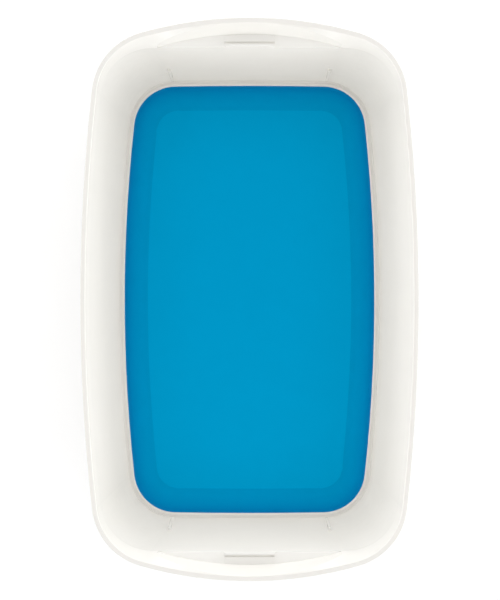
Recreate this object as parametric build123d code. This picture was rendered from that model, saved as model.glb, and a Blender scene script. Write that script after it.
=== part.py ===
"""Open desk storage tray: a white moulded shell with a coloured liner held in its base.

Frame: +X across the tray, +Y along it, +Z up. The origin is the centre of the
underside, level with the foot ring. All sizes are in millimetres.
"""

import os
from math import asin, cos, hypot, radians, sin, sqrt, tan

from build123d import *

# Overall size, over the rim
RIM_LENGTH = 318.0
RIM_WIDTH = 191.0
HEIGHT = 118.0
RIM_SIDE_RADIUS = 1071.0        # the long sides bow outward gently
RIM_END_RADIUS = 225.5          # the ends bow much more, which makes the handles
RIM_CORNER_RADIUS = 37.7
RIM_BAND_Z = 115.0              # the rim's outside is upright from here up
RIM_EDGE_ROUNDING = 0.45        # on both edges of the rim

# Shell thicknesses
WALL = 2.7
SHELL_FLOOR_Z = 3.0             # inside of the shell's floor
BASE_ROUNDING = 17.5            # rounding between the underside and the walls
FOOT_HEIGHT = 0.8
FOOT_SETBACK = 20.5             # from the outer wall, carried down to the foot, to the recess

# Inner wall, measured at the ledge above the liner, and how it opens upward
LEDGE_Z = 24.0
LEDGE_HALF_WIDTH = 81.9
LEDGE_HALF_LENGTH = 138.2
SIDE_DRAFT = 6.6                # degrees
END_DRAFT = 4.05                # degrees
WALL_SIDE_RADIUS = 1016.0
WALL_END_RADIUS = 2500.0        # the end walls are all but flat
WALL_CORNER_RADIUS = 29.5

# Lip of the ledge, which frames the liner and holds it down
LIP_HALF_WIDTH = 79.4
LIP_HALF_LENGTH = 135.5
LIP_CORNER_RADIUS = 26.6
LIP_HEIGHT = 2.5
BEAD_WIDTH = 0.9                # flat bead beside the liner
GROOVE_WIDTH = 0.5
GROOVE_DEPTH = 0.25

# Handles: a shelf behind the top of each end wall, scooped out under the bowed rim
SHELF_Z = 108.0
SHELF_THICKNESS = 2.6
SHELF_ARC_RADIUS = 189.5
SHELF_DEPTH = 7.35              # from the end wall to the middle of the arc
SCOOP_HALF_WIDTH = 52.5
SCOOP_TOP_RADIUS = 145.0        # arc of the scoop's back where it meets the rim
SCOOP_REACH = 5.0               # how far its cutter starts in front of the end wall
FLARE_POWER = 1.7               # how gradually the wall above the shelf bows out to the rim
FLARE_STEPS = 5
GRIP_HALF_LENGTH = 153.0        # middle of the handle's underside

# Latch tab and pocket for a lid, in the middle of each handle
TAB_HALF_WIDTH = 14.2
TAB_HEIGHT = 2.4
TAB_THICKNESS = 1.3
SLOT_WIDTH = 1.7
SLOT_DEPTH = 1.2
POCKET_DEPTH = 0.3

# Ribs that keep stacked trays from jamming
RIB_X = 48.7
RIB_THICKNESS = 1.8
RIB_FOOT_DEPTH = 0.7            # out of the wall's middle, at the ledge
RIB_TOP_DEPTH = 2.3
RIB_HEIGHT = 33.8
RIB_ROUNDING = 0.4              # on its front edges and its top edge

# Liner
LINER_WALL = 2.0
LINER_COVE = 13.0               # rounding between its floor and its wall
LINER_GAP = 0.1                 # clearance to the shell beside it and above it

SHELF_Y = LEDGE_HALF_LENGTH + (SHELF_Z - LEDGE_Z) * tan(radians(END_DRAFT))
GRIP_Z = SHELF_Z - SHELF_THICKNESS
LIP_UNDERSIDE_Z = LEDGE_Z - LIP_HEIGHT


def arc_edge(points, z):
    """Circular arc through three points, at height z."""
    return Edge.make_three_point_arc(*[(x, y, z) for x, y in points])


def corner_centre(half_width, half_length, side_radius, end_radius, corner_radius):
    """Centre of the corner arc that is tangent to both the side and the end, at +X and +Y."""
    side_centre = half_width - side_radius
    end_centre = half_length - end_radius
    to_side = side_radius - corner_radius
    to_end = end_radius - corner_radius
    span = hypot(side_centre, end_centre)
    along = (to_side**2 - to_end**2 + span**2) / (2 * span)
    across = sqrt(to_side**2 - along**2)
    x = side_centre - (along * side_centre + across * end_centre) / span
    y = (along * end_centre - across * side_centre) / span
    return x, y


def oval(half_width, half_length, side_radius, end_radius, corner_radius, z):
    """Closed outline of eight tangent arcs: two sides, two ends and four corners."""
    side_centre = half_width - side_radius
    end_centre = half_length - end_radius
    to_side = side_radius - corner_radius
    to_end = end_radius - corner_radius
    corner_x, corner_y = corner_centre(
        half_width, half_length, side_radius, end_radius, corner_radius
    )
    side_angle = asin(corner_y / to_side)
    end_angle = asin(corner_x / to_end)
    middle = (side_angle + radians(90) - end_angle) / 2
    side = (side_centre + side_radius * cos(side_angle), side_radius * sin(side_angle))
    mid = (corner_x + corner_radius * cos(middle), corner_y + corner_radius * sin(middle))
    end = (end_radius * sin(end_angle), end_centre + end_radius * cos(end_angle))
    quarters = [(1, 1), (-1, 1), (-1, -1), (1, -1)]
    edges = []
    for sx, sy in quarters:
        corner = [(sx * x, sy * y) for x, y in (side, mid, end)]
        if sx == sy:
            through = [corner[2], (0, sy * half_length), (-corner[2][0], corner[2][1])]
        else:
            corner.reverse()
            through = [corner[2], (sx * half_width, 0), (corner[2][0], -corner[2][1])]
        edges.append(arc_edge(corner, z))
        edges.append(arc_edge(through, z))
    return Wire(edges)


def stack(outlines, ruled=True):
    """Solid through outlines at rising heights."""
    return Solid.make_loft(outlines, ruled)


def side_radius(z):
    """Radius of the inner wall's long sides, which grows evenly up to the rim."""
    share = (z - LEDGE_Z) / (HEIGHT - LEDGE_Z)
    return WALL_SIDE_RADIUS + share * (RIM_SIDE_RADIUS - WALL - WALL_SIDE_RADIUS)


def side_half_width(z):
    """Half width of the tray inside its long walls at height z."""
    return LEDGE_HALF_WIDTH + (z - LEDGE_Z) * tan(radians(SIDE_DRAFT))


def end_half_length(z):
    """Half length of the tray inside its end walls at height z, with no bow."""
    return LEDGE_HALF_LENGTH + (z - LEDGE_Z) * tan(radians(END_DRAFT))


def wall_outline(z, outset=0.0):
    """Outline of the inner wall at height z, moved outward by outset."""
    return oval(
        side_half_width(z) + outset,
        end_half_length(z) + outset,
        side_radius(z) + outset,
        WALL_END_RADIUS + outset,
        WALL_CORNER_RADIUS + outset,
        z,
    )


def lip_outline(z, outset=0.0):
    """Outline just inside the ledge's lip at height z, moved outward by outset."""
    rise = z - LEDGE_Z
    return oval(
        LIP_HALF_WIDTH + rise * tan(radians(SIDE_DRAFT)) + outset,
        LIP_HALF_LENGTH + rise * tan(radians(END_DRAFT)) + outset,
        WALL_SIDE_RADIUS + outset,
        WALL_END_RADIUS + outset,
        LIP_CORNER_RADIUS + outset,
        z,
    )


def rim_outline(z):
    """Outline of the rim's outside at height z."""
    return oval(
        RIM_WIDTH / 2, RIM_LENGTH / 2, RIM_SIDE_RADIUS, RIM_END_RADIUS, RIM_CORNER_RADIUS, z
    )


def grip_outline():
    """Outside outline at the handles' underside: the outer wall with its ends bowed out."""
    half_width = side_half_width(GRIP_Z) + WALL
    side = side_radius(GRIP_Z) + WALL
    corner = WALL_CORNER_RADIUS + WALL
    end = WALL_END_RADIUS + WALL
    x, y = corner_centre(half_width, end_half_length(GRIP_Z) + WALL, side, end, corner)
    bow = GRIP_HALF_LENGTH - y
    bowed_end = (x**2 + bow**2 - corner**2) / (2 * (bow - corner))
    return oval(half_width, GRIP_HALF_LENGTH, side, bowed_end, corner, GRIP_Z)


def flare_outline(z):
    """Inner outline above the shelf, on its way from the straight end wall to the bowed rim."""
    share = ((z - SHELF_Z) / (HEIGHT - SHELF_Z)) ** FLARE_POWER
    bowed = RIM_LENGTH / 2 - WALL
    inner_corner_radius = RIM_CORNER_RADIUS - WALL
    return oval(
        side_half_width(z),
        end_half_length(z) + (bowed - end_half_length(z)) * share,
        side_radius(z),
        1 / (share / (RIM_END_RADIUS - WALL) + (1 - share) / WALL_END_RADIUS),
        WALL_CORNER_RADIUS + (inner_corner_radius - WALL_CORNER_RADIUS) * share,
        z,
    )


def bowl(outline, floor_z, top_z, outset, rounding):
    """Tapered solid with a rounded bottom, from floor_z up to top_z."""
    block = stack([outline(floor_z, outset), outline(top_z, outset)])
    return fillet(block.faces().sort_by(Axis.Z)[0].edges(), rounding)


def both_ends(shape):
    """The shape and its copy at the other end of the tray."""
    return [shape, Rot(0, 0, 180) * shape]


def shell_body():
    """Outside of the shell, solid: rounded base, tapered walls and flared rim."""
    base = bowl(wall_outline, 0, GRIP_Z, WALL, BASE_ROUNDING)
    rim = stack([grip_outline(), rim_outline(RIM_BAND_Z), rim_outline(HEIGHT)])
    return base + rim


def storage_space():
    """Everything taken out above the ledge, up to the rim's inner edge."""
    lower = stack([wall_outline(LEDGE_Z), wall_outline(SHELF_Z)])
    step = (HEIGHT - SHELF_Z) / FLARE_STEPS
    flare = stack([flare_outline(SHELF_Z + step * i) for i in range(FLARE_STEPS + 1)], False)
    return lower + flare


def prism_across(side, half_width, centre_x=0.0):
    """Prism along X from a side view given as (y, z) points."""
    corners = [(centre_x - half_width, y, z) for y, z in side]
    return extrude(Face(Wire.make_polygon(corners)), 2 * half_width, dir=(1, 0, 0))


def curved_back(half_width, radius, apex_y, front_y, z):
    """Outline with a straight front and a back that is an arc through (0, apex_y)."""
    y = apex_y - radius + sqrt(radius**2 - half_width**2)
    back = arc_edge([(half_width, y), (0, apex_y), (-half_width, y)], z)
    left = Edge.make_line((-half_width, y, z), (-half_width, front_y, z))
    front = Edge.make_line((-half_width, front_y, z), (half_width, front_y, z))
    right = Edge.make_line((half_width, front_y, z), (half_width, y, z))
    return Wire([back, left, front, right])


def shelf_back(half_width, front_y, z):
    """Outline of part of the shelf, with its back on the shelf's own arc."""
    return curved_back(half_width, SHELF_ARC_RADIUS, SHELF_Y + SHELF_DEPTH, front_y, z)


def scoop():
    """Cutter for one handle: a flat shelf with a leaning curved back."""
    front_y = SHELF_Y - SCOOP_REACH
    rim_y = RIM_LENGTH / 2 - WALL
    return stack([
        shelf_back(SCOOP_HALF_WIDTH, front_y, SHELF_Z),
        curved_back(SCOOP_HALF_WIDTH, SCOOP_TOP_RADIUS, rim_y, front_y, HEIGHT),
    ])


def latch_tab():
    """Upstanding tab that carries the end wall on above the shelf."""
    lean = TAB_HEIGHT * tan(radians(END_DRAFT))
    return prism_across(
        [
            (SHELF_Y, SHELF_Z - POCKET_DEPTH),
            (SHELF_Y + TAB_THICKNESS, SHELF_Z - POCKET_DEPTH),
            (SHELF_Y + TAB_THICKNESS, SHELF_Z + TAB_HEIGHT),
            (SHELF_Y + lean, SHELF_Z + TAB_HEIGHT),
            (SHELF_Y, SHELF_Z),
        ],
        TAB_HALF_WIDTH,
    )


def latch_pocket():
    """Cutter for the sunken floor behind the tab and the slot at its foot."""
    front_y = SHELF_Y + TAB_THICKNESS
    floor = stack([
        shelf_back(TAB_HALF_WIDTH, front_y, SHELF_Z - POCKET_DEPTH),
        shelf_back(TAB_HALF_WIDTH, front_y, SHELF_Z),
    ])
    slot = Pos(0, front_y + SLOT_WIDTH / 2, SHELF_Z - SLOT_DEPTH / 2) * Box(
        2 * TAB_HALF_WIDTH, SLOT_WIDTH, SLOT_DEPTH
    )
    return floor + slot


def rib(centre_x):
    """Flat-topped bar up an end wall, which stands out a little more at its top."""
    top_z = LEDGE_Z + RIB_HEIGHT
    top_y = LEDGE_HALF_LENGTH + RIB_HEIGHT * tan(radians(END_DRAFT))
    root = WALL / 3
    side = [
        (LEDGE_HALF_LENGTH - RIB_FOOT_DEPTH, LEDGE_Z),
        (LEDGE_HALF_LENGTH + root, LEDGE_Z),
        (top_y + root, top_z),
        (top_y - RIB_TOP_DEPTH, top_z),
    ]
    bar = prism_across(side, RIB_THICKNESS / 2, centre_x)
    front = bar.faces().sort_by(Axis.Y)[0]
    edges = front.edges().filter_by(lambda edge: edge.center().Z > LEDGE_Z + RIB_ROUNDING)
    return fillet(edges, RIB_ROUNDING)


def liner_space():
    """Cutter for the liner's seat: the mouth inside the lip and the bowl under it."""
    mouth = stack([lip_outline(LIP_UNDERSIDE_Z), lip_outline(LEDGE_Z)])
    seat = bowl(
        lip_outline, SHELL_FLOOR_Z, LIP_UNDERSIDE_Z, LINER_WALL, LINER_COVE + LINER_WALL
    )
    return mouth + seat


def ledge_groove():
    """Cutter for the fine groove between the bead and the rest of the ledge."""
    bottom = LEDGE_Z - GROOVE_DEPTH
    outer_outset = BEAD_WIDTH + GROOVE_WIDTH
    outer = stack([lip_outline(bottom, outer_outset), lip_outline(LEDGE_Z, outer_outset)])
    inner = stack([lip_outline(bottom, BEAD_WIDTH), lip_outline(LEDGE_Z, BEAD_WIDTH)])
    return outer - inner


def foot_recess():
    """Cutter that hollows the underside and leaves a standing ring around it."""
    outset = WALL - FOOT_SETBACK
    return stack([wall_outline(0, outset), wall_outline(FOOT_HEIGHT, outset)])


def build_shell():
    """White shell: walls, rim, handles, latch pockets, ribs, ledge and floor."""
    shell = shell_body() - storage_space()
    rim = shell.faces().sort_by(Axis.Z)[-1]
    shell = fillet(rim.edges(), RIM_EDGE_ROUNDING)
    for cutter in both_ends(scoop()):
        shell -= cutter
    for tab, pocket in zip(both_ends(latch_tab()), both_ends(latch_pocket())):
        shell += tab
        shell -= pocket
    for centre_x in (-RIB_X, RIB_X):
        for wedge in both_ends(rib(centre_x)):
            shell += wedge
    shell -= liner_space()
    shell -= ledge_groove()
    shell -= foot_recess()
    return shell


def build_liner():
    """Coloured liner: a shallow bowl that fills the shell's base up to the lip."""
    top_z = LIP_UNDERSIDE_Z - LINER_GAP
    outside = bowl(
        lip_outline, SHELL_FLOOR_Z, top_z, LINER_WALL - LINER_GAP, LINER_COVE + LINER_WALL
    )
    inside = bowl(lip_outline, SHELL_FLOOR_Z + LINER_WALL, top_z, 0, LINER_COVE)
    return outside - inside


def main():
    """Write one STEP file for each piece."""
    os.makedirs("parts", exist_ok=True)
    pieces = {"outer_shell": build_shell(), "base_liner": build_liner()}
    for name, piece in pieces.items():
        export_step(piece, f"parts/{name}.step")


main()
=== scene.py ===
"""Looks of the desk storage tray: gloss white shell, satin blue liner, pale floor, soft light."""

import bpy
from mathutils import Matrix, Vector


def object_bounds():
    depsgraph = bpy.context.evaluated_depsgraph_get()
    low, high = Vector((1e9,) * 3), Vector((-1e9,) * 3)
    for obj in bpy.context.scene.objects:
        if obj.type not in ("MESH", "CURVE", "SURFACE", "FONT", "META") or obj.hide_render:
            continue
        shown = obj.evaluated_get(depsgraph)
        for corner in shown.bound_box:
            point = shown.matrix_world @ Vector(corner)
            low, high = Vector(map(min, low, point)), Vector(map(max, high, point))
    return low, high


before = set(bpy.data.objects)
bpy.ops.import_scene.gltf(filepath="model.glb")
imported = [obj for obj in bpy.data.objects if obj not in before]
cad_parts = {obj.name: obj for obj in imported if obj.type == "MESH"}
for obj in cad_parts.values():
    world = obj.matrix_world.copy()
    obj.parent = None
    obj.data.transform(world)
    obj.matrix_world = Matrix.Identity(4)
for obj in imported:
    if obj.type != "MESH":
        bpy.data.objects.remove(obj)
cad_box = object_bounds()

RIM_TOP = cad_box[1][2]

# Camera: straight above the tray, as high as the spread of the walls says. The lens and the
# sensor are in millimetres.
CAMERA_HEIGHT = 0.900
CAMERA_X = 0.0003
CAMERA_Y = -0.00035
CAMERA_LENS = 83.2
CAMERA_SENSOR = 36.0

# Studio light: brightness against height, where height is the sine of the elevation. The dim
# horizon and the ceiling are the same all round. Between them lies a ring of light, which is
# brightest at the front and reaches highest at the sides.
LIGHT_STRENGTH = 2.36
LIGHT_TILT = (0.06, 0.06, 0.0)          # how much brighter it is from the right and the back
HORIZON = [(0.00, 0.50), (0.09, 0.50)]
RING_AT_SIDES = [(0.14, 1.00), (0.27, 1.00), (0.31, 0.75), (0.44, 0.70), (0.49, 0.50), (0.62, 0.50)]
RING_AT_BACK = [(0.14, 0.85), (0.31, 0.90), (0.44, 0.80), (0.49, 0.15), (0.62, 0.15)]
RING_AT_FRONT = [(0.14, 1.18), (0.29, 1.18), (0.34, 0.50), (0.44, 0.45), (0.49, 0.05), (0.62, 0.05)]
CEILING = [(0.68, 0.25), (0.82, 0.25), (0.88, 0.50), (0.95, 0.50), (0.985, 0.28)]
ENDS_TO_SIDES = (0.35, 0.85)            # how far sideways the sides' ring begins and is full
FRONT_TO_BACK = (-0.25, 0.25)           # how far back the back's ring begins and is full

# Scales are in features per metre, and heights of bumps and depths are in metres.
PATCHES = (0.3, 0.7)                    # the range that most of a noise pattern lies in

# White plastic of the shell
WHITE = (0.955, 0.932, 0.892, 1)
WHITE_CLOUD_SCALE = 14
WHITE_CLOUD_SHADE = 0.985
WHITE_GLOSS_SCALE = 60
WHITE_ROUGHNESS = (0.10, 0.16)
WHITE_IOR = 1.5
WHITE_GLOW = 0.5                        # share of the light that enters the wall and comes out
WHITE_GLOW_DEPTH = 0.002
SAME_IN_ALL_COLOURS = (1, 1, 1)
WHITE_RIPPLE_SCALE = 350
WHITE_RIPPLE_STRENGTH = 0.12
WHITE_RIPPLE_HEIGHT = 0.00005

# The flat top of its rim: matt, and painted a shade darker than the walls
# painted shade: the rim's flat top is painted darker than the rest of the white
RIM_PAINTED_SHADE = 0.885
RIM_EXTRA_ROUGHNESS = 0.35
RIM_DEPTH = (0.0008, 0.0004)            # how far below the top the matt finish and painted shade begin and are full
RIM_LEVEL = (0.80, 0.97)                # how far the surface faces up where they begin and are full

# Blue plastic of the liner
BLUE_FLOOR = (0.0, 0.388, 0.742, 1)
# painted shade: the cove is painted darker than the floor, and darker still towards its edge
BLUE_COVE_PAINTED_SHADE = (0.0, 0.336, 0.675, 1)
BLUE_EDGE_PAINTED_SHADE = (0.0, 0.235, 0.56, 1)
BLUE_FLAT = (0.9985, 0.9995)            # how far up it faces where the floor begins and is full
BLUE_STEEP = (0.95, 0.25)               # and where the cove's painted shade starts and is darkest
BLUE_COVE_ROUGHNESS = 0.55
BLUE_FLOOR_ROUGHNESS = 0.45
BLUE_REFLECTION = 0.002
BLUE_GRAIN_SCALE = 1800
BLUE_GRAIN_DETAIL = 3
BLUE_GRAIN_STRENGTH = 0.25
BLUE_GRAIN_HEIGHT = 0.00004
BLUE_BOUNCE = (0.92, 0.935, 0.935, 1)   # the colour that other surfaces see

# Studio floor
FLOOR_SIZE = 30.0
FLOOR_PALE = (0.95, 0.95, 0.95, 1)
FLOOR_MOTTLE = (0.94, 0.94, 0.94, 1)
FLOOR_MOTTLE_SCALE = 40
FLOOR_MOTTLE_DETAIL = 4
FLOOR_ROUGHNESS = 0.9
FLOOR_GLOW = 0.17                       # light from below, as on a light table
FLOOR_GRAIN_SCALE = 700
FLOOR_GRAIN_STRENGTH = 0.05
FLOOR_GRAIN_HEIGHT = 0.0001
FLOOR_BOUNCE = (0.25, 0.25, 0.25, 1)    # the colour that other surfaces see
FLOOR_BOUNCE_ROUGHNESS = 0.4


def new_material(name):
    """A node material, its tree and its Principled shader."""
    material = bpy.data.materials.new(name)
    material.use_nodes = True
    tree = material.node_tree
    return material, tree, tree.nodes["Principled BSDF"]


def split(tree, vector):
    """The X, Y and Z outputs of a vector."""
    node = tree.nodes.new("ShaderNodeSeparateXYZ")
    tree.links.new(vector, node.inputs["Vector"])
    return node.outputs


def own_place(tree):
    """Position in the object's own space."""
    return tree.nodes.new("ShaderNodeTexCoord").outputs["Object"]


def facing_up(tree):
    """How far the surface faces up: 1 where it is level, and 0 where it is upright."""
    geometry = tree.nodes.new("ShaderNodeNewGeometry")
    return split(tree, geometry.outputs["Normal"])["Z"]


def noise(tree, scale, detail=2.0):
    """Noise in the object's own space, from 0 to 1."""
    pattern = tree.nodes.new("ShaderNodeTexNoise")
    pattern.inputs["Scale"].default_value = scale
    pattern.inputs["Detail"].default_value = detail
    tree.links.new(own_place(tree), pattern.inputs["Vector"])
    return pattern.outputs["Fac"]


def spread(tree, value, low, high, to_low=0.0, to_high=1.0):
    """Value carried from the range low..high to the range to_low..to_high, and clamped."""
    node = tree.nodes.new("ShaderNodeMapRange")
    node.inputs["From Min"].default_value = low
    node.inputs["From Max"].default_value = high
    node.inputs["To Min"].default_value = to_low
    node.inputs["To Max"].default_value = to_high
    tree.links.new(value, node.inputs["Value"])
    return node.outputs["Result"]


def calculate(tree, operation, *values):
    """Result of a maths operation on other nodes' outputs."""
    node = tree.nodes.new("ShaderNodeMath")
    node.operation = operation
    for socket, value in zip(node.inputs, values):
        tree.links.new(value, socket)
    return node.outputs["Value"]


def blend_colours(tree, share, first, second):
    """Colour between two, where each is a colour or another node's output."""
    node = tree.nodes.new("ShaderNodeMix")
    node.data_type = "RGBA"
    tree.links.new(share, node.inputs["Factor"])
    for name, colour in (("A", first), ("B", second)):
        socket = next(s for s in node.inputs if s.name == name and s.type == "RGBA")
        if isinstance(colour, tuple):
            socket.default_value = colour
        else:
            tree.links.new(colour, socket)
    return next(s for s in node.outputs if s.type == "RGBA")


def darker(colour, share):
    """The colour at a share of its brightness."""
    return (*(channel * share for channel in colour[:3]), 1)


def bump(tree, shader, pattern, strength, height):
    """Bump on a shader from a pattern, at most as high as height."""
    node = tree.nodes.new("ShaderNodeBump")
    node.inputs["Strength"].default_value = strength
    node.inputs["Distance"].default_value = height
    tree.links.new(pattern, node.inputs["Height"])
    tree.links.new(node.outputs["Normal"], shader.inputs["Normal"])


def seen_by_camera(tree):
    """1 where the camera sees the surface itself, and 0 where another surface does."""
    return tree.nodes.new("ShaderNodeLightPath").outputs["Is Camera Ray"]


def rim_share(tree):
    """1 on the flat top of the rim, 0 elsewhere."""
    begins, full = (RIM_TOP - depth for depth in RIM_DEPTH)
    high = spread(tree, split(tree, own_place(tree))["Z"], begins, full)
    level = spread(tree, facing_up(tree), *RIM_LEVEL)
    return calculate(tree, "MULTIPLY", high, level)


def white_plastic():
    """Gloss white moulded plastic, faintly translucent, with the slight ripple of a mould, a matt
    rim top and painted shade on that rim top.
    """
    material, tree, shader = new_material("white_gloss_plastic")
    cloud = spread(tree, noise(tree, WHITE_CLOUD_SCALE), *PATCHES)
    tint = blend_colours(tree, cloud, WHITE, darker(WHITE, WHITE_CLOUD_SHADE))
    # painted shade: the rim's flat top is painted darker; its extra roughness is real
    rim = rim_share(tree)
    tint_with_painted_rim_shade = blend_colours(tree, rim, tint, darker(WHITE, RIM_PAINTED_SHADE))
    tree.links.new(tint_with_painted_rim_shade, shader.inputs["Base Color"])
    gloss = spread(tree, noise(tree, WHITE_GLOSS_SCALE), *PATCHES, *WHITE_ROUGHNESS)
    matt = spread(tree, rim, 0, 1, 0, RIM_EXTRA_ROUGHNESS)
    tree.links.new(calculate(tree, "ADD", gloss, matt), shader.inputs["Roughness"])
    shader.inputs["IOR"].default_value = WHITE_IOR
    shader.inputs["Subsurface Weight"].default_value = WHITE_GLOW
    shader.inputs["Subsurface Radius"].default_value = SAME_IN_ALL_COLOURS
    shader.inputs["Subsurface Scale"].default_value = WHITE_GLOW_DEPTH
    ripple = noise(tree, WHITE_RIPPLE_SCALE)
    bump(tree, shader, ripple, WHITE_RIPPLE_STRENGTH, WHITE_RIPPLE_HEIGHT)
    return material


def blue_plastic():
    """Blue moulded plastic: grained floor, and a cove with painted shade that darkens to its edge.
    """
    material, tree, shader = new_material("blue_satin_plastic")
    up = facing_up(tree)
    flat = spread(tree, up, *BLUE_FLAT)
    # painted shade: the cove is painted darker than the floor and darkest at its edge; the rougher
    # cove is real
    steep = spread(tree, up, *BLUE_STEEP)
    cove = blend_colours(tree, steep, BLUE_COVE_PAINTED_SHADE, BLUE_EDGE_PAINTED_SHADE)
    tint = blend_colours(tree, flat, cove, BLUE_FLOOR)
    shown = blend_colours(tree, seen_by_camera(tree), BLUE_BOUNCE, tint)
    tree.links.new(shown, shader.inputs["Base Color"])
    roughness = spread(tree, flat, 0, 1, BLUE_COVE_ROUGHNESS, BLUE_FLOOR_ROUGHNESS)
    tree.links.new(roughness, shader.inputs["Roughness"])
    shader.inputs["Specular IOR Level"].default_value = BLUE_REFLECTION
    grain = noise(tree, BLUE_GRAIN_SCALE, BLUE_GRAIN_DETAIL)
    bump(tree, shader, grain, BLUE_GRAIN_STRENGTH, BLUE_GRAIN_HEIGHT)
    return material


def pale_floor():
    """Matt white studio floor with a faint paper-like mottle, darker to other surfaces."""
    material, tree, shader = new_material("pale_floor")
    mottle = spread(tree, noise(tree, FLOOR_MOTTLE_SCALE, FLOOR_MOTTLE_DETAIL), *PATCHES)
    tint = blend_colours(tree, mottle, FLOOR_PALE, FLOOR_MOTTLE)
    tree.links.new(tint, shader.inputs["Base Color"])
    shader.inputs["Roughness"].default_value = FLOOR_ROUGHNESS
    shader.inputs["Emission Color"].default_value = (1, 1, 1, 1)
    shader.inputs["Emission Strength"].default_value = FLOOR_GLOW
    shader.inputs["Specular IOR Level"].default_value = 0
    bump(tree, shader, noise(tree, FLOOR_GRAIN_SCALE), FLOOR_GRAIN_STRENGTH, FLOOR_GRAIN_HEIGHT)
    plain = tree.nodes.new("ShaderNodeBsdfPrincipled")
    plain.inputs["Base Color"].default_value = FLOOR_BOUNCE
    plain.inputs["Roughness"].default_value = FLOOR_BOUNCE_ROUGHNESS
    choice = tree.nodes.new("ShaderNodeMixShader")
    tree.links.new(seen_by_camera(tree), choice.inputs["Fac"])
    tree.links.new(plain.outputs["BSDF"], choice.inputs[1])
    tree.links.new(shader.outputs["BSDF"], choice.inputs[2])
    tree.links.new(choice.outputs["Shader"], tree.nodes["Material Output"].inputs["Surface"])
    return material


def paint(node, material):
    """Gives a CAD node one material."""
    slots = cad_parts[node].data.materials
    slots.clear()
    slots.append(material)


def add_floor():
    """Floor that the tray stands on, wide enough to have no edge in any view."""
    bpy.ops.mesh.primitive_plane_add(size=FLOOR_SIZE, location=(0, 0, 0))
    floor = bpy.context.object
    floor.name = "floor"
    floor.data.materials.append(pale_floor())


def add_camera():
    """Camera that looks straight down."""
    data = bpy.data.cameras.new("camera")
    data.sensor_width = CAMERA_SENSOR
    data.lens = CAMERA_LENS
    camera = bpy.data.objects.new("camera", data)
    camera.location = (CAMERA_X, CAMERA_Y, CAMERA_HEIGHT)
    bpy.context.scene.collection.objects.link(camera)
    bpy.context.scene.camera = camera


def brightness(tree, height, ring):
    """Brightness of the sky at a height, with a ring of light above the horizon."""
    ramp = tree.nodes.new("ShaderNodeValToRGB")
    tree.links.new(height, ramp.inputs["Fac"])
    elements = ramp.color_ramp.elements
    elements.remove(elements[1])
    for index, (position, share) in enumerate(HORIZON + ring + CEILING):
        element = elements[0] if index == 0 else elements.new(position)
        element.position = position
        element.color = (share, share, share, 1)
    return ramp.outputs["Color"]


def add_light():
    """Soft light from all round, whose brightness depends on its direction."""
    world = bpy.data.worlds.new("studio")
    world.use_nodes = True
    tree = world.node_tree
    direction = tree.nodes.new("ShaderNodeTexCoord").outputs["Generated"]
    x, y, height = split(tree, direction)
    to_back = spread(tree, y, *FRONT_TO_BACK)
    at_front = brightness(tree, height, RING_AT_FRONT)
    at_back = brightness(tree, height, RING_AT_BACK)
    at_ends = blend_colours(tree, to_back, at_front, at_back)
    to_sides = spread(tree, calculate(tree, "ABSOLUTE", x), *ENDS_TO_SIDES)
    at_sides = brightness(tree, height, RING_AT_SIDES)
    tilt = tree.nodes.new("ShaderNodeVectorMath")
    tilt.operation = "DOT_PRODUCT"
    tilt.inputs[1].default_value = LIGHT_TILT
    tree.links.new(direction, tilt.inputs[0])
    # LIGHT_STRENGTH where the tilt is 0, and in proportion to 1 + tilt elsewhere
    strength = spread(tree, tilt.outputs["Value"], -1, 1, 0, 2 * LIGHT_STRENGTH)
    background = tree.nodes["Background"]
    tree.links.new(strength, background.inputs["Strength"])
    tree.links.new(blend_colours(tree, to_sides, at_ends, at_sides), background.inputs["Color"])
    bpy.context.scene.world = world


add_camera()
add_floor()
add_light()
paint("outer_shell", white_plastic())
paint("base_liner", blue_plastic())
bpy.context.scene.view_settings.view_transform = "Standard"
